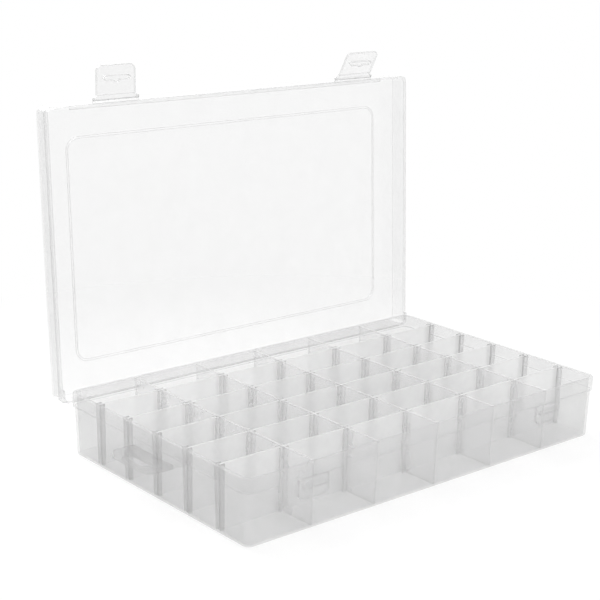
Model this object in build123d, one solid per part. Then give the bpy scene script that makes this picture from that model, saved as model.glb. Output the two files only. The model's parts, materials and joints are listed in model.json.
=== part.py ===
from build123d import *
import os

# Clear plastic organiser for beads: a partitioned tray, a hinged lid with two latches and lift-out dividers.
# Axes: +X along the long side, +Y towards the lid hinge, +Z up. The origin is under the middle of the tray.

# Tray outline, in millimetres
tray_width = 271.5
tray_depth = 168.5
tray_height = 38.6
corner_radius = 6.5
wall = 1.4
floor_thickness = 1.4
wall_draft = 1.0
foot_radius = 2.0
edge_rounding = 0.4

# Thickened band around the rim
band_height = 8.4
band_step = 1.1

# Fixed partitions and the ribs that hold the dividers
columns = 6
rows = 6
partition_thickness = 1.2
partition_drop = 0.3
rib_projection = 2.2
rib_thickness = 1.5
rib_lead_in = 0.7

# Lift-out dividers
divider_thickness = 1.2
divider_side_play = 0.2
divider_end_play = 0.3
divider_drop = 0.4
divider_corner_radius = 0.8

# Lid
lid_play = 0.45
lid_side_play = 1.2
lid_wall = 1.3
lid_overlap = 4.2
lid_height = 12.0
lid_corner_radius = 4.0
lid_edge_radius = 1.6
lid_side_lip = 1.2
lid_side_lip_height = 1.3
lid_stop_width = 1.3
lid_stop_length = 240.0
lid_stop_height = 1.2
lid_rim_gap = 0.3
lid_opening_angle = 93.0

# Shallow rounded line pressed into the lid's top
line_side_inset = 18.7
line_front_inset = 19.5
line_back_inset = 19.0
line_width = 0.7
line_depth = 0.3
line_corner_radius = 8.0

# Living hinge along the back wall
hinge_above_band = 1.2
hinge_radius = 0.6
hinge_play = 0.1
hinge_end_inset = 7.0

# Latches at the lid's front edge
latch_x = 91.5
latch_width = 26.5
latch_base_width = 31.5
latch_base_length = 3.8
latch_length = 20.8
latch_thickness = 1.4
latch_base_thickness = 2.2
latch_corner_radius = 3.5
latch_face_gap = 1.6
latch_web_radius = 0.45
latch_web_play = 0.1
latch_web_thickness = 0.6
latch_root_gap = 0.3
latch_above_edge = 0.65
latch_bar_distance = 13.4
latch_bar_width = 18.6
latch_bar_height = 3.0
latch_bar_depth = 1.2
latch_bulge_radius = 2.1
latch_bulge_reach = 1.3
left_latch_fold = 3.0
right_latch_fold = 30.0

# Catches under the band on the front wall
catch_width = 20.5
hook_width = 15.5
hook_height = 2.2
hook_reach = 1.2
hook_nose = 0.7
hook_play = 0.2
catch_foot = 1.2

# Hanging ear on the left wall
ear_width = 38.0
ear_reach = 15.5
ear_thickness = 2.2
ear_below_band = 4.6
ear_corner_radius = 7.0
ear_hole_width = 22.0
ear_hole_height = 7.0
ear_edge = 3.0

# Places and sizes that follow from the ones above
band_bottom = tray_height - band_height
foot_step = band_step + wall_draft
column_pitch = tray_width / columns
row_pitch = tray_depth / rows
partition_top = tray_height - partition_drop
divider_top = partition_top - divider_drop
slot_width = divider_thickness + 2 * divider_side_play
inner_foot_x = tray_width / 2 - foot_step - wall
lid_width = tray_width + 2 * (lid_side_play + lid_wall)
lid_depth = tray_depth + 2 * (lid_play + lid_wall)
lid_bottom = tray_height - lid_overlap
lid_stop = tray_height + lid_rim_gap
lid_top = lid_bottom + lid_height
hinge_y = tray_depth / 2 + hinge_radius + hinge_play
hinge_z = band_bottom + hinge_above_band
latch_hinge_y = -(lid_depth / 2 + latch_web_radius + latch_web_play)
latch_hinge_z = lid_bottom + latch_above_edge
band_face_y = -tray_depth / 2


def rounded_outline(inset, z):
    """The tray's plan outline, drawn in by an inset from the rim, at a height."""
    outline = RectangleRounded(tray_width - 2 * inset, tray_depth - 2 * inset, corner_radius - inset)
    return Pos(0, 0, z) * outline


def draft_at(z):
    """How far the sloping wall stands out from its foot at a height."""
    return wall_draft * z / band_bottom


def tray_body():
    """The tray's outer form as a solid block: sloping walls under an upright band."""
    foot = rounded_outline(foot_step, 0)
    under_band = rounded_outline(band_step, band_bottom)
    lower = loft([foot.face(), under_band.face()], ruled=True)
    foot_edges = lower.edges().group_by(Axis.Z)[0]
    lower = fillet(foot_edges, min(foot_radius, corner_radius - foot_step - edge_rounding))
    band = extrude(rounded_outline(0, band_bottom), band_height)
    band = fillet(band.edges().group_by(Axis.Z)[-1], edge_rounding)
    band = fillet(band.edges().group_by(Axis.Z)[0], edge_rounding)
    return lower + band


def tray_space():
    """The room inside the tray's walls, above its floor."""
    low_inset = foot_step + wall - draft_at(floor_thickness)
    high_inset = foot_step + wall - draft_at(tray_height)
    low = rounded_outline(low_inset, floor_thickness)
    high = rounded_outline(high_inset, tray_height)
    return loft([low.face(), high.face()], ruled=True)


def rib_profile(side):
    """Section of one rib beside a divider slot, with a slope at its top that leads the divider in."""
    near = side * slot_width / 2
    far = side * (slot_width / 2 + rib_thickness)
    lead = side * (slot_width / 2 + rib_lead_in)
    points = [
        (near, floor_thickness),
        (far, floor_thickness),
        (far, partition_top - rib_lead_in / 2),
        (far - side * rib_lead_in / 2, partition_top),
        (lead, partition_top),
        (near, partition_top - rib_lead_in),
    ]
    return make_face(Polyline(*points, close=True))


def rib_pair(x_low, x_high, y):
    """The two ribs of one slot, from one X to another."""
    ribs = []
    for side in (-1, 1):
        section = Plane(origin=(x_low, y, 0), x_dir=(0, 1, 0), z_dir=(1, 0, 0)) * rib_profile(side)
        ribs.append(extrude(section, x_high - x_low))
    return ribs


def slot_places():
    """Y of every divider slot, from the front of the tray to the back."""
    return [(row - rows / 2) * row_pitch for row in range(1, rows)]


def partition(x, space):
    """One fixed wall from front to back, with its ribs on both faces."""
    height = partition_top - floor_thickness
    plate = Pos(x, 0, floor_thickness + height / 2) * Box(partition_thickness, tray_depth, height)
    reach = partition_thickness / 2 + rib_projection
    for y in slot_places():
        for rib in rib_pair(x - reach, x + reach, y):
            plate = plate + rib
    return plate & space


def wall_guides(side, space):
    """The rib pairs on one short wall of the tray."""
    face = side * (inner_foot_x - rib_projection)
    outside = side * tray_width / 2
    guides = []
    for y in slot_places():
        for rib in rib_pair(min(face, outside), max(face, outside), y):
            guides.append(rib & space)
    return guides


def divider(column, row):
    """One lift-out divider, standing in the slots of its column between two rows."""
    left = -inner_foot_x
    right = inner_foot_x
    if column > 1:
        left = (column - 1 - columns / 2) * column_pitch + partition_thickness / 2
    if column < columns:
        right = (column - columns / 2) * column_pitch - partition_thickness / 2
    width = right - left - 2 * divider_end_play
    height = divider_top - floor_thickness
    plate = Box(width, divider_thickness, height)
    plate = fillet(plate.edges().filter_by(Axis.Y).group_by(Axis.Z)[-1], divider_corner_radius)
    return Pos((left + right) / 2, slot_places()[row - 1], floor_thickness + height / 2) * plate


def catch(x, body):
    """A tab under the band with a hooked ridge, under which the latch's bar snaps."""
    bar_z = latch_hinge_z - latch_bar_distance
    hook_low = bar_z + latch_bar_height / 2 + latch_bulge_reach + hook_play
    tab_low = bar_z - latch_bar_height / 2 - catch_foot
    tab_plan = Pos(x, band_face_y + foot_step, tab_low) * Rectangle(catch_width, 2 * foot_step)
    tab = extrude(tab_plan, band_bottom - tab_low)
    tab = chamfer(tab.edges().filter_by(Axis.Y).group_by(Axis.Z)[0], foot_step)
    points = [
        (0, hook_low + hook_height),
        (-hook_reach, hook_low + hook_nose),
        (-hook_reach, hook_low),
        (0, hook_low),
    ]
    section = Plane(origin=(x - hook_width / 2, band_face_y, 0), x_dir=(0, 1, 0), z_dir=(1, 0, 0))
    hook = extrude(section * make_face(Polyline(*points, close=True)), hook_width)
    return (tab + hook) - body


def hang_ear(body):
    """A flat ear with a slot, standing out from the left wall."""
    top = band_bottom - ear_below_band
    root = tray_width / 2 - foot_step - wall / 2
    length = tray_width / 2 + ear_reach - root
    plate = Pos(-root - length / 2, 0, top - ear_thickness) * Rectangle(length, ear_width)
    plate = extrude(plate, ear_thickness)
    outer = plate.edges().filter_by(Axis.Z).group_by(Axis.X)[0]
    plate = fillet(outer, ear_corner_radius)
    hole_x = -(tray_width / 2 + ear_reach - ear_edge - ear_hole_height / 2)
    hole = Rot(0, 0, 90) * SlotOverall(ear_hole_width, ear_hole_height)
    hole = Pos(hole_x, 0, top - ear_thickness) * hole
    return plate - extrude(hole, ear_thickness) - body


def hinge_strip():
    """The round-nosed ledge that the lid turns on, along the back of the band."""
    length = tray_width - 2 * hinge_end_inset
    nose = Pos(0, hinge_y, hinge_z) * Rot(0, 90, 0) * Cylinder(hinge_radius, length)
    reach = hinge_y - tray_depth / 2
    ledge = Pos(0, tray_depth / 2 + reach / 2, hinge_z) * Box(length, reach, 2 * hinge_radius)
    behind_band = Pos(0, hinge_y, hinge_z) * Box(length, 2 * reach, 2 * hinge_radius)
    return (nose & behind_band) + ledge


def lid_outline(inset, z):
    """The lid's plan outline, drawn in by an inset, at a height with the lid shut."""
    outline = RectangleRounded(lid_width - 2 * inset, lid_depth - 2 * inset, lid_corner_radius - inset)
    return Pos(0, 0, z) * outline


def pressed_line():
    """The shallow rounded rectangle in the lid's top face."""
    width = lid_width - 2 * line_side_inset
    depth = lid_depth - line_front_inset - line_back_inset
    middle = (line_front_inset - line_back_inset) / 2
    outer = RectangleRounded(width, depth, line_corner_radius)
    inner = RectangleRounded(width - 2 * line_width, depth - 2 * line_width, line_corner_radius - line_width)
    return extrude(Pos(0, middle, lid_top - line_depth) * (outer - inner), line_depth)


def lid_shut():
    """The lid as it lies over the tray's rim, with a deeper skirt at its hinge."""
    skirt_low = hinge_z + hinge_radius + hinge_play
    deep_line = tray_depth / 2 - corner_radius
    outer = extrude(lid_outline(0, skirt_low), lid_top - skirt_low)
    outer = fillet(outer.faces().sort_by(Axis.Z)[-1].edges(), lid_edge_radius)
    inner = extrude(lid_outline(lid_wall, skirt_low), lid_top - lid_wall - skirt_low)
    shell = outer - inner
    stop_reach = lid_wall / 2 + lid_play + lid_stop_width
    stop_y = -lid_depth / 2 + lid_wall / 2 + stop_reach / 2
    stop = Box(lid_stop_length, stop_reach, lid_stop_height)
    shell = shell + Pos(0, stop_y, lid_stop + lid_stop_height / 2) * stop
    below_edge = lid_bottom - skirt_low
    front_depth = deep_line + lid_depth / 2
    front_block = Box(lid_width, front_depth, below_edge)
    front_block = Pos(0, deep_line - front_depth / 2, skirt_low + below_edge / 2) * front_block
    shell = shell - front_block - pressed_line()
    lip = RectangleRounded(lid_width + 2 * lid_side_lip, lid_depth, lid_corner_radius)
    lip = Pos(0, 0, lid_bottom) * lip - lid_outline(lid_wall / 2, lid_bottom)
    shell = shell + extrude(lip, lid_side_lip_height)
    for side in (-1, 1):
        shell = shell + latch_nose(side * latch_x)
    return shell


def latch_nose(x):
    """The round-nosed ledge on the lid's front edge that one latch turns on."""
    reach = -latch_hinge_y - lid_depth / 2
    nose = Rot(0, 90, 0) * Cylinder(latch_web_radius, latch_base_width)
    nose = Pos(x, latch_hinge_y, latch_hinge_z) * nose
    length = reach + lid_wall / 2
    ledge = Box(latch_base_width, length, 2 * latch_web_radius)
    return nose + Pos(x, latch_hinge_y + length / 2, latch_hinge_z) * ledge


def latch_bar():
    """Outline of the bar inside a latch: pointed ends, and a round bulge on the hinge side."""
    point = latch_bar_height / 2
    half = latch_bar_width / 2
    corners = [
        (-half, 0),
        (-half + point, point),
        (half - point, point),
        (half, 0),
        (half - point, -point),
        (-half + point, -point),
    ]
    outline = make_face(Polyline(*corners, close=True))
    bulge = Pos(0, -point - latch_bulge_reach + latch_bulge_radius) * Circle(latch_bulge_radius)
    return outline + bulge


def latch(x):
    """A latch in the lid's plane: local Y runs out from its hinge, and Z is off its turning axis."""
    inner_face = latch_hinge_y - (band_face_y - latch_face_gap)
    web_start = latch_web_radius + latch_web_play
    web_end = latch_above_edge + latch_root_gap + latch_web_play
    web_length = web_end - web_start + latch_thickness
    web = Pos(0, web_start + web_length / 2, 0) * Box(latch_base_width, web_length, latch_web_thickness)
    half_base = latch_base_width / 2
    half_plate = latch_width / 2
    base_corners = [
        (-half_base, web_end),
        (half_base, web_end),
        (half_plate, latch_base_length),
        (-half_plate, latch_base_length),
    ]
    base = Pos(0, 0, inner_face) * make_face(Polyline(*base_corners, close=True))
    base = extrude(base, latch_base_thickness)
    plate_length = latch_length - latch_base_length
    plate_middle = latch_base_length + plate_length / 2
    plate = Pos(0, plate_middle, inner_face) * Rectangle(latch_width, plate_length)
    plate = extrude(plate, latch_thickness)
    plate = fillet(plate.edges().filter_by(Axis.Z).group_by(Axis.Y)[-1], latch_corner_radius)
    bar = extrude(Pos(0, latch_bar_distance, inner_face - latch_bar_depth) * latch_bar(), latch_bar_depth)
    flat = web + base + plate + bar
    return Pos(x, latch_hinge_y, latch_hinge_z) * Rot(0, 0, 180) * flat


def folded(solid, angle):
    """A latch turned about its hinge, from the lid's plane towards the tray."""
    axis = Axis((0, latch_hinge_y, latch_hinge_z), (1, 0, 0))
    return solid.rotate(axis, angle)


def opened(solid):
    """A piece of the lid, turned open about the hinge line."""
    axis = Axis((0, hinge_y, hinge_z), (-1, 0, 0))
    return solid.rotate(axis, lid_opening_angle)


def write(name, shape):
    """Writes one sub-part to its own file."""
    export_step(shape, "parts/" + name + ".step")


os.makedirs("parts", exist_ok=True)

body = tray_body()
space = tray_space()
write("tray_shell", body - space)
for number in range(1, columns):
    write(f"partition_{number}", partition((number - columns / 2) * column_pitch, space))
write("left_wall_guides", Compound(children=wall_guides(-1, space)))
write("right_wall_guides", Compound(children=wall_guides(1, space)))
for column in range(1, columns + 1):
    for row in range(1, rows):
        write(f"divider_{column}_{row}", divider(column, row))
write("left_catch", catch(-latch_x, body))
write("right_catch", catch(latch_x, body))
write("hanging_ear", hang_ear(body))
write("hinge_strip", hinge_strip())
write("lid", opened(lid_shut()))
write("left_latch", opened(folded(latch(-latch_x), left_latch_fold)))
write("right_latch", opened(folded(latch(latch_x), right_latch_fold)))
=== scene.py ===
# %% [markdown]
# # A clear bead organiser, standing open
# The real object is one folding moulding of clear polypropylene, a tray with a lid and two latches on
# living hinges, and thirty loose dividers. The imported CAD model gives every piece at its real size.
# This script dresses it: clear plastic that darkens where many walls lie behind each other, thin
# lines along the moulded edges, a white floor, soft light and the photograph's camera.
#
# ## The frame
# Every piece already has its place and its body in the imported model, so the script starts by loading
# that.

# %% Load the frame
import json
import math

import bpy
from mathutils import Matrix, Vector


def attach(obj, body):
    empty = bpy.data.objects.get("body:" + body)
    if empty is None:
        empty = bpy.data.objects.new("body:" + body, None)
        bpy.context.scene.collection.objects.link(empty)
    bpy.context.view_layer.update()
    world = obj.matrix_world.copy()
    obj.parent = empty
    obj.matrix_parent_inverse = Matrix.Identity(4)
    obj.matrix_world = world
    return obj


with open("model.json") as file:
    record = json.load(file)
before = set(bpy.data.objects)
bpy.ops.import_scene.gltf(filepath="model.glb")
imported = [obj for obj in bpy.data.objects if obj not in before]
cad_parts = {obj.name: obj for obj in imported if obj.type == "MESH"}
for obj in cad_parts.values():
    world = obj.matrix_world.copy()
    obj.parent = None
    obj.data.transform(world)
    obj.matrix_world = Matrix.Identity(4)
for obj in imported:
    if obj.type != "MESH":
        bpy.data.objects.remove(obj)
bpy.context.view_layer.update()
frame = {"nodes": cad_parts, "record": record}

MM = 0.001
nodes = frame["nodes"]

# %% [markdown]
# ## Colours and nodes
# A colour is easiest to compare with a photograph as an sRGB hex value, but Blender's sockets want
# linear light, so one function converts it. A second small function adds a node, sets its sockets and
# links it.

# %% Colour and node helpers
def linear(hex_colour, alpha=1.0):
    """Turns an sRGB hex colour into the linear values that a socket takes."""
    channels = []
    for start in (0, 2, 4):
        value = int(hex_colour[start:start + 2], 16) / 255
        channels.append(value / 12.92 if value <= 0.04045 else ((value + 0.055) / 1.055) ** 2.4)
    return (*channels, alpha)


def add_node(tree, kind, links=None, **settings):
    """Adds one node. Settings name its properties or sockets, and links give the sockets that feed it."""
    node = tree.nodes.new(kind)
    for name, value in settings.items():
        if hasattr(node, name):
            setattr(node, name, value)
        else:
            node.inputs[name.replace("_", " ")].default_value = value
    for name, source in (links or {}).items():
        tree.links.new(source, node.inputs[name])
    return node


print("mid grey in linear light is", [round(c, 3) for c in linear("808080")])

# %% [markdown]
# ## Clear polypropylene
# Clear polypropylene is not as clear as glass: its fine crystals scatter a little light in every
# wall. One wall looks almost like the white behind it, and ten walls look grey, which is what draws
# the compartments in the photograph. A volume inside each wall would scatter like that, but it
# renders slowly through so many walls. So the scattering is put on the faces: each one lets most
# light straight through, and the rest of it is a pale milky surface that also glows with the light
# from behind. That veils what lies behind a wall, but it can't blur it as real plastic does. At a
# shallow angle the path through the plastic is longer, so the face turns denser there, and a thin
# mirror of the room lies over it, as on any polished moulding.
#
# A mirror node based on the index of refraction is avoided. It reports total reflection on the back
# of a face, which would darken a thin wall that light really passes. Layer Weight is the same from
# both sides.

# %% Clear plastic material
POLYPROPYLENE_IOR = 1.49
HEAD_ON_MIRROR = 0.04
FAR_SIDE_SHARE = 0.5
SHALLOW_POWER = 3.0
MIRROR_POWER = 5.0
CLOUD_MM = 18.0
COLUMN_PITCH = 45.25 * MM
RIB_START = 0.7 * MM


def thick_zone(tree, place, amount):
    """Grows the haze of a partition where its ribs stand out, beyond RIB_START from its middle.

    PINGPONG folds X, so that it gives the distance to the middle of the nearest partition.
    """
    across = add_node(tree, "ShaderNodeSeparateXYZ", {"Vector": place.outputs["Object"]})
    offset = add_node(tree, "ShaderNodeMath", {0: across.outputs["X"]}, operation="PINGPONG")
    offset.inputs[1].default_value = COLUMN_PITCH / 2
    on_rib = add_node(tree, "ShaderNodeMath", {0: offset.outputs[0]}, operation="GREATER_THAN")
    on_rib.inputs[1].default_value = RIB_START
    return add_node(tree, "ShaderNodeMapRange", {"Value": on_rib.outputs[0]},
                    To_Min=1.0, To_Max=amount)


def clear_plastic(name, milk, haze, edge_haze, roughness, ripple_mm, ripple_depth_mm,
                  rib_haze=1.0, edge_mirror=0.6):
    """Moulded clear plastic.

    Haze is how much of a face is milky head on, and edge haze how much at a shallow angle. Edge mirror
    is how much of it mirrors the room at the shallowest. Rib haze multiplies the haze on a partition's
    ribs. Ripple and ripple depth are the size and the depth of the moulding's slight unevenness, and a
    broader cloud changes the haze by about a tenth.
    """
    material = bpy.data.materials.new(name)
    material.use_nodes = True
    tree = material.node_tree
    tree.nodes.clear()
    place = add_node(tree, "ShaderNodeTexCoord")
    ripple = add_node(tree, "ShaderNodeTexNoise", {"Vector": place.outputs["Object"]},
                      Scale=1 / (ripple_mm * MM), Detail=2.0, Roughness=0.5)
    bump = add_node(tree, "ShaderNodeBump", {"Height": ripple.outputs["Fac"]},
                    Strength=1.0, Distance=ripple_depth_mm * MM)
    cloud = add_node(tree, "ShaderNodeTexNoise", {"Vector": place.outputs["Object"]},
                     Scale=1 / (CLOUD_MM * MM), Detail=3.0, Roughness=0.55)
    uneven = add_node(tree, "ShaderNodeMapRange", {"Value": cloud.outputs["Fac"]},
                      From_Min=0.3, From_Max=0.7, To_Min=0.9, To_Max=1.1)
    facing = add_node(tree, "ShaderNodeLayerWeight", Blend=0.5)
    shallow = add_node(tree, "ShaderNodeMath", {0: facing.outputs["Facing"]}, operation="POWER")
    shallow.inputs[1].default_value = SHALLOW_POWER
    density = add_node(tree, "ShaderNodeMapRange", {"Value": shallow.outputs[0]},
                       From_Min=0.0, From_Max=1.0, To_Min=haze, To_Max=edge_haze)
    cloudy = add_node(tree, "ShaderNodeMath", {0: density.outputs[0], 1: uneven.outputs[0]},
                      operation="MULTIPLY")
    if rib_haze != 1.0:
        thick = thick_zone(tree, place, rib_haze)
        cloudy = add_node(tree, "ShaderNodeMath", {0: cloudy.outputs[0], 1: thick.outputs[0]},
                          operation="MULTIPLY")
    passing = add_node(tree, "ShaderNodeBsdfTransparent", Color=linear("FFFFFF"))
    near_side = add_node(tree, "ShaderNodeBsdfPrincipled", {"Normal": bump.outputs["Normal"]},
                         Base_Color=linear(milk), Roughness=roughness, IOR=POLYPROPYLENE_IOR)
    far_side = add_node(tree, "ShaderNodeBsdfTranslucent", {"Normal": bump.outputs["Normal"]},
                        Color=linear(milk))
    body = add_node(tree, "ShaderNodeMixShader", {1: near_side.outputs[0], 2: far_side.outputs[0]})
    body.inputs[0].default_value = FAR_SIDE_SHARE
    seen = add_node(tree, "ShaderNodeMixShader",
                    {0: cloudy.outputs[0], 1: passing.outputs[0], 2: body.outputs[0]})
    steep = add_node(tree, "ShaderNodeMath", {0: facing.outputs["Facing"]}, operation="POWER")
    steep.inputs[1].default_value = MIRROR_POWER
    mirror = add_node(tree, "ShaderNodeMapRange", {"Value": steep.outputs[0]},
                      From_Min=0.0, From_Max=1.0, To_Min=HEAD_ON_MIRROR, To_Max=edge_mirror)
    gloss = add_node(tree, "ShaderNodeBsdfGlossy", {"Normal": bump.outputs["Normal"]},
                     Color=linear("FFFFFF"), Roughness=roughness)
    surface = add_node(tree, "ShaderNodeMixShader",
                       {0: mirror.outputs[0], 1: seen.outputs[0], 2: gloss.outputs[0]})
    add_node(tree, "ShaderNodeOutputMaterial", {"Surface": surface.outputs[0]})
    print("material", name)
    return material


print("clear plastic with an index of refraction of", POLYPROPYLENE_IOR)

# %% [markdown]
# ## Finishes of the pieces
# The tray, lid and latches are one moulding of one plastic, so in truth they share one material. A
# wall whose scattering sits on its faces can't show how thick it is or what lies behind it, though,
# so each kind of piece has its own milkiness and haze here. They were matched by tone to the
# photograph, and are no measured property of the plastic.
# The milk tones also carry painted light and shade: the tray's grey milk stands for the shade on its near
# walls, and the lighter milk of the partitions and dividers for the light from above.

# %% Finishes of the pieces
# The tray's walls and floor: polypropylene from a polished mould, with an even veil whose grey milk is
# painted shade: it darkens the whole shell to the tone of its shaded near walls.
shell_plastic = clear_plastic(
    "moulded_clear_polypropylene_shell", milk="C4C4C4", haze=0.17, edge_haze=0.32,
    roughness=0.3, ripple_mm=9.0, ripple_depth_mm=0.02)
# The fixed partitions: the same moulding, with a lighter milk that is painted light, for the light that
# falls on them from above and the bright lines along their top edges.
partition_plastic = clear_plastic(
    "moulded_clear_polypropylene_partition", milk="F8F8F8", haze=0.2, edge_haze=0.4,
    roughness=0.3, ripple_mm=9.0, ripple_depth_mm=0.02, rib_haze=1.1)
# The guide ribs on the end walls: the same moulding, a touch denser seen along a rib.
guide_plastic = clear_plastic(
    "moulded_clear_polypropylene_rib", milk="CCCCCC", haze=0.17, edge_haze=0.4,
    roughness=0.3, ripple_mm=9.0, ripple_depth_mm=0.02)
# The hanging ear: the same moulding, and the darkest part of the tray in the photograph.
ear_plastic = clear_plastic(
    "moulded_clear_polypropylene_ear", milk="B0B0B0", haze=0.2, edge_haze=0.35,
    roughness=0.3, ripple_mm=9.0, ripple_depth_mm=0.02)
# The catches: the same moulding, and hardly to be told from the wall behind them in the photograph.
catch_plastic = clear_plastic(
    "moulded_clear_polypropylene_catch", milk="D8D8D8", haze=0.1, edge_haze=0.25,
    roughness=0.3, ripple_mm=9.0, ripple_depth_mm=0.02)
# The lid: the same moulding in one broad wall, which looks almost like the white behind it.
lid_plastic = clear_plastic(
    "moulded_clear_polypropylene_lid", milk="D8D8D8", haze=0.12, edge_haze=0.25,
    roughness=0.3, ripple_mm=14.0, ripple_depth_mm=0.02)
# The latches: the same moulding in small plates, a little denser than the lid.
latch_plastic = clear_plastic(
    "moulded_clear_polypropylene_latch", milk="CCCCCC", haze=0.15, edge_haze=0.4,
    roughness=0.3, ripple_mm=6.0, ripple_depth_mm=0.02)
# The dividers: separate mouldings of milkier plastic, which hide what stands behind them. Their light
# milk is also painted light, for the light that falls on them from above.
divider_plastic = clear_plastic(
    "moulded_clear_polypropylene_divider", milk="F2F2F2", haze=0.28, edge_haze=0.45,
    roughness=0.3, ripple_mm=6.0, ripple_depth_mm=0.02, edge_mirror=0.35)
# The hinge strip: polypropylene worked white by folding, with a duller surface.
hinge_plastic = clear_plastic(
    "folded_polypropylene_web", milk="E2E2E2", haze=0.12, edge_haze=0.3,
    roughness=0.35, ripple_mm=3.0, ripple_depth_mm=0.02)

# %% [markdown]
# ## Finishes of the edges
# A moulded edge is the same plastic as its wall, only curved. It needs a finish of its own because
# the walls here let the light pass straight on and never bend it, so their edges alone would hardly
# show.

# %% Finishes of the edges
# The tray's and latches' rounded edges: a darker line of painted shade, for the light that their curve
# bends away.
edge_plastic = clear_plastic(
    "rounded_moulded_polypropylene_edge", milk="ACACAC", haze=0.08, edge_haze=0.25,
    roughness=0.3, ripple_mm=4.0, ripple_depth_mm=0.01, edge_mirror=0.3)
# The lid's edges: the same, but a little lighter, as the photograph shows them.
lid_edge_plastic = clear_plastic(
    "rounded_lid_edge_polypropylene", milk="B8B8B8", haze=0.06, edge_haze=0.3,
    roughness=0.3, ripple_mm=4.0, ripple_depth_mm=0.01)
# The dividers' edges: a lighter line of painted light, for the light caught inside the plate that
# shines out at its edges.
highlight_edge_plastic = clear_plastic(
    "divider_edge_painted_highlight", milk="E4E4E4", haze=0.06, edge_haze=0.2,
    roughness=0.3, ripple_mm=4.0, ripple_depth_mm=0.01, edge_mirror=0.15)

# %% [markdown]
# ## Dressing the CAD pieces
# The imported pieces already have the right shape, so they keep their meshes and only get a finish. It
# is found by a piece's whole name, or else by the first word of it. Two pieces are found by neither,
# the rows of guide ribs on the end walls, and they take the ribs' finish.

# %% Dress the CAD nodes
finishes = {"divider": divider_plastic, "partition": partition_plastic, "hinge": hinge_plastic,
            "tray": shell_plastic, "hanging": ear_plastic, "lid": lid_plastic,
            "left_catch": catch_plastic, "right_catch": catch_plastic,
            "left_latch": latch_plastic, "right_latch": latch_plastic}
for name, piece in nodes.items():
    finish = finishes.get(name, finishes.get(name.split("_")[0], guide_plastic))
    piece.data.materials.clear()
    piece.data.materials.append(finish)
print("dressed", len(nodes), "nodes")

# %% [markdown]
# ## Moulded edges
# No moulded edge is perfectly sharp. Each has a small radius, and the curve bends the light away, so
# an edge of clear plastic shows as a thin line. Real curves could be cut into every piece, but the
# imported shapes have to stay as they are. The rule is the same everywhere, so Geometry Nodes follow
# it: find each edge where two faces meet at a clear angle, go a little below the surface, and lay a
# thin rod along it. Because the rods start below the surface, they add nothing to the real size.

# %% Edge tree
EDGE_ANGLE = math.radians(35)
EDGE_RADIUS = 0.2 * MM
EDGE_DEPTH = EDGE_RADIUS * math.sqrt(3)

edge_tree = bpy.data.node_groups.new("moulded_edges", "GeometryNodeTree")
for label, kind in (("Geometry", "NodeSocketGeometry"), ("Smallest angle", "NodeSocketFloat"),
                    ("Line radius", "NodeSocketFloat"), ("Depth", "NodeSocketFloat"),
                    ("Material", "NodeSocketMaterial")):
    edge_tree.interface.new_socket(label, in_out="INPUT", socket_type=kind)
edge_tree.interface.new_socket("Geometry", in_out="OUTPUT", socket_type="NodeSocketGeometry")
given = add_node(edge_tree, "NodeGroupInput")
joined = add_node(edge_tree, "GeometryNodeMergeByDistance", {"Geometry": given.outputs["Geometry"]},
                  Distance=0.001 * MM)
outward = add_node(edge_tree, "GeometryNodeInputNormal")
angle = add_node(edge_tree, "GeometryNodeInputMeshEdgeAngle")
sharp = add_node(edge_tree, "FunctionNodeCompare", data_type="FLOAT", operation="GREATER_THAN")
edge_tree.links.new(angle.outputs["Unsigned Angle"], sharp.inputs["A"])
edge_tree.links.new(given.outputs["Smallest angle"], sharp.inputs["B"])
kept = add_node(edge_tree, "GeometryNodeCaptureAttribute", {"Geometry": joined.outputs["Geometry"]},
                domain="POINT")
kept.capture_items.new("VECTOR", "Outward")
edge_tree.links.new(outward.outputs["Normal"], kept.inputs["Outward"])
lines = add_node(edge_tree, "GeometryNodeMeshToCurve",
                 {"Mesh": kept.outputs["Geometry"], "Selection": sharp.outputs["Result"]})
inward = add_node(edge_tree, "ShaderNodeMath", {0: given.outputs["Depth"]}, operation="MULTIPLY")
inward.inputs[1].default_value = -1.0
shift = add_node(edge_tree, "ShaderNodeVectorMath",
                 {"Vector": kept.outputs["Outward"], "Scale": inward.outputs[0]}, operation="SCALE")
sunk = add_node(edge_tree, "GeometryNodeSetPosition",
                {"Geometry": lines.outputs["Curve"], "Offset": shift.outputs["Vector"]})
ring = add_node(edge_tree, "GeometryNodeCurvePrimitiveCircle", {"Radius": given.outputs["Line radius"]},
                Resolution=6)
rods = add_node(edge_tree, "GeometryNodeCurveToMesh",
                {"Curve": sunk.outputs["Geometry"], "Profile Curve": ring.outputs["Curve"]},
                Fill_Caps=True)
solid = add_node(edge_tree, "GeometryNodeRealizeInstances", {"Geometry": rods.outputs["Mesh"]})
painted = add_node(edge_tree, "GeometryNodeSetMaterial",
                   {"Geometry": solid.outputs["Geometry"], "Material": given.outputs["Material"]})
add_node(edge_tree, "NodeGroupOutput", {"Geometry": painted.outputs["Geometry"]})
print("edge tree nodes:", len(edge_tree.nodes))

# %% [markdown]
# ## The edges of each body
# A rod has to move with the wall it outlines, so the tree runs once for each moving body, on the
# faces of all the CAD pieces that the body holds. The result is turned into a plain mesh before it is
# tied to its body, because the export reads meshes and no modifiers.

# %% Edges of every body
def shared_mesh(name, sources):
    """One mesh with the faces of several CAD nodes, for the tree to read."""
    points, faces = [], []
    for source in sources:
        start = len(points)
        points += [tuple(v.co) for v in source.data.vertices]
        faces += [tuple(start + i for i in polygon.vertices) for polygon in source.data.polygons]
    mesh = bpy.data.meshes.new(name)
    mesh.from_pydata(points, [], faces)
    return mesh


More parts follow.
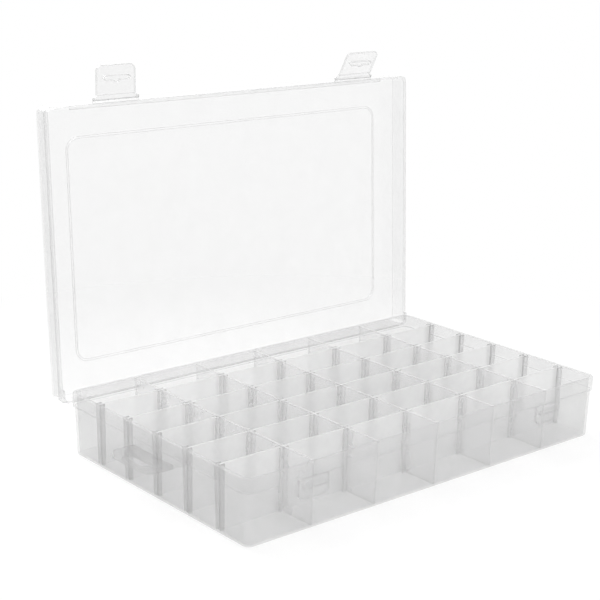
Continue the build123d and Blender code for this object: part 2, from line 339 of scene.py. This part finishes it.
def moulded_edges(body, members, finish):
    """Runs the tree on one body's nodes and keeps the result as a plain mesh that rides on the body."""
    source = shared_mesh(body + "_source", [nodes[member] for member in members])
    holder = bpy.data.objects.new(body + "_source", source)
    bpy.context.collection.objects.link(holder)
    modifier = holder.modifiers.new("edges", "NODES")
    modifier.node_group = edge_tree
    values = {"Smallest angle": EDGE_ANGLE, "Line radius": EDGE_RADIUS, "Depth": EDGE_DEPTH,
              "Material": finish}
    for item in edge_tree.interface.items_tree:
        if item.in_out == "INPUT" and item.name in values:
            modifier[item.identifier] = values[item.name]
    graph = bpy.context.evaluated_depsgraph_get()
    mesh = bpy.data.meshes.new_from_object(holder.evaluated_get(graph))
    bpy.data.objects.remove(holder)
    piece = bpy.data.objects.new(body + "_edges", mesh)
    bpy.context.collection.objects.link(piece)
    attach(piece, body)
    return len(mesh.polygons)


# The tray's and latches' rods are lines of painted shade, the lid's a lighter shade, and those of every
# other body, such as the dividers, lines of painted light.
edge_finishes = {"tray": edge_plastic, "lid": lid_edge_plastic, "left_latch": edge_plastic,
                 "right_latch": edge_plastic}
total = 0
for body, members in frame["record"]["behaviour"]["bodies"].items():
    total += moulded_edges(body, members, edge_finishes.get(body, highlight_edge_plastic))
print("edge faces:", total)

# %% [markdown]
# ## Floor
# The photograph shows the box on pure white with hardly any shadow. The floor is a white sheet that
# the camera sees at full white, with about a fifth of its brightness near the box left to the lamps,
# so that the box still casts a soft shadow. That share fades out with distance, so the sheet has no
# visible end.

# %% Floor
FLOOR_HALF = 14.0
FLOOR_DROP = 0.0002
SHADOW_SHARE = 0.22
SHADOW_NEAR = 0.12
SHADOW_FAR = 0.4


def white_floor():
    """White paper under the box: full white to the camera, apart from the shadow's share."""
    material = bpy.data.materials.new("white_paper_floor")
    material.use_nodes = True
    tree = material.node_tree
    tree.nodes.clear()
    paper = add_node(tree, "ShaderNodeBsdfDiffuse", Color=linear("FAFAFA"))
    glow = add_node(tree, "ShaderNodeEmission", Color=linear("FFFFFF"), Strength=1.0)
    place = add_node(tree, "ShaderNodeTexCoord")
    away = add_node(tree, "ShaderNodeVectorMath", {"Vector": place.outputs["Object"]},
                    operation="LENGTH")
    share = add_node(tree, "ShaderNodeMapRange", {"Value": away.outputs["Value"]},
                     interpolation_type="SMOOTHSTEP", From_Min=SHADOW_NEAR, From_Max=SHADOW_FAR,
                     To_Min=SHADOW_SHARE, To_Max=0.0)
    shown = add_node(tree, "ShaderNodeMixShader",
                     {0: share.outputs[0], 1: glow.outputs[0], 2: paper.outputs[0]})
    path = add_node(tree, "ShaderNodeLightPath")
    seen = add_node(tree, "ShaderNodeMath",
                    {0: path.outputs["Is Camera Ray"], 1: path.outputs["Is Glossy Ray"]},
                    operation="MAXIMUM")
    through = add_node(tree, "ShaderNodeMath",
                       {0: seen.outputs[0], 1: path.outputs["Is Transmission Ray"]},
                       operation="MAXIMUM")
    surface = add_node(tree, "ShaderNodeMixShader",
                       {0: through.outputs[0], 1: paper.outputs[0], 2: shown.outputs[0]})
    add_node(tree, "ShaderNodeOutputMaterial", {"Surface": surface.outputs[0]})
    return material


floor_mesh = bpy.data.meshes.new("floor")
corner_signs = [(-1, -1), (1, -1), (1, 1), (-1, 1)]
corners = [(x * FLOOR_HALF, y * FLOOR_HALF, -FLOOR_DROP) for x, y in corner_signs]
floor_mesh.from_pydata(corners, [], [(0, 1, 2, 3)])
floor_mesh.materials.append(white_floor())
floor = bpy.data.objects.new("floor", floor_mesh)
bpy.context.collection.objects.link(floor)
print("floor", 2 * FLOOR_HALF, "m wide")

# %% [markdown]
# ## World and lamps
# A product photograph like this one is lit from all round, so the world is an even studio grey that
# lights the box, and plain white to the camera and in reflections. The photograph's back rows are
# brighter than its near corner, so the main lamp hangs above and behind the box, and its light
# crosses the lid and many walls before it reaches the front. A weak second lamp stands on the
# camera's side. A ray may cross many clear faces here, so the number of faces it may cross is raised,
# and so is the number of times that light may scatter.

# %% World and lamps
ROOM_STRENGTH = 0.78
CLEAR_FACES = 96
SCATTERINGS = 8

world = bpy.data.worlds.new("studio")
bpy.context.scene.world = world
world.use_nodes = True
sky = world.node_tree
sky.nodes.clear()
room = add_node(sky, "ShaderNodeBackground", Color=linear("FFFFFF"), Strength=ROOM_STRENGTH)
backdrop = add_node(sky, "ShaderNodeBackground", Color=linear("FFFFFF"), Strength=1.0)
sky_path = add_node(sky, "ShaderNodeLightPath")
sky_seen = add_node(sky, "ShaderNodeMath",
                    {0: sky_path.outputs["Is Camera Ray"], 1: sky_path.outputs["Is Glossy Ray"]},
                    operation="MAXIMUM")
sky_mix = add_node(sky, "ShaderNodeMixShader",
                   {0: sky_seen.outputs[0], 1: room.outputs[0], 2: backdrop.outputs[0]})
add_node(sky, "ShaderNodeOutputWorld", {"Surface": sky_mix.outputs[0]})


def soft_box(name, place, target, size, power):
    """A square studio lamp that points at the box."""
    lamp = bpy.data.lights.new(name, "AREA")
    lamp.size = size
    lamp.energy = power
    holder = bpy.data.objects.new(name, lamp)
    holder.location = place
    holder.rotation_euler = (Vector(target) - Vector(place)).to_track_quat("-Z", "Y").to_euler()
    bpy.context.collection.objects.link(holder)
    return holder


soft_box("key_lamp", place=(-0.05, 0.8, 0.95), target=(0.0, 0.0, 0.02), size=0.8, power=15.5)
soft_box("fill_lamp", place=(-0.7, -0.9, 1.0), target=(0.0, 0.0, 0.05), size=0.9, power=0.2)
bpy.context.scene.cycles.transparent_max_bounces = CLEAR_FACES
bpy.context.scene.cycles.diffuse_bounces = SCATTERINGS
bpy.context.scene.view_settings.view_transform = "Standard"
print("light set")

# %% [markdown]
# ## Camera
# The camera stands to the left of the box's front and looks a little down, with a portrait lens and a
# slight roll. These values were fitted to the corners, partitions and latches in the photograph.
# Three unit vectors give its turn: to the right, up, and back towards the viewer, which is how a
# camera's own axes lie.

# %% Camera
CAMERA_TARGET = Vector((-25.6, 8.0, 92.7)) * MM
CAMERA_DISTANCE = 846.0 * MM
CAMERA_AZIMUTH = math.radians(-40.3)
CAMERA_ELEVATION = math.radians(15.72)
CAMERA_ROLL = math.radians(1.16)
FOCAL_PIXELS = 1461.9
FRAME_PIXELS = 600
SENSOR_MM = 36.0

back = Vector((math.sin(CAMERA_AZIMUTH) * math.cos(CAMERA_ELEVATION),
               -math.cos(CAMERA_AZIMUTH) * math.cos(CAMERA_ELEVATION),
               math.sin(CAMERA_ELEVATION)))
level_right = (-back).cross(Vector((0, 0, 1))).normalized()
level_up = level_right.cross(-back)
right = level_right * math.cos(CAMERA_ROLL) + level_up * math.sin(CAMERA_ROLL)
up = level_up * math.cos(CAMERA_ROLL) - level_right * math.sin(CAMERA_ROLL)
camera_data = bpy.data.cameras.new("camera")
camera_data.sensor_width = SENSOR_MM
camera_data.lens = FOCAL_PIXELS / FRAME_PIXELS * SENSOR_MM
camera_data.clip_start = 0.01
camera_data.clip_end = 100.0
camera = bpy.data.objects.new("camera", camera_data)
turn = Matrix((right, up, back)).transposed().to_4x4()
camera.matrix_world = Matrix.Translation(CAMERA_TARGET + back * CAMERA_DISTANCE) @ turn
bpy.context.collection.objects.link(camera)
bpy.context.scene.camera = camera
print("lens", round(camera_data.lens, 2), "mm")

# %% [markdown]
# ## Finish
# The dressed model has to lie inside the box of the CAD model.

# %% Finish
print("scene dressed")
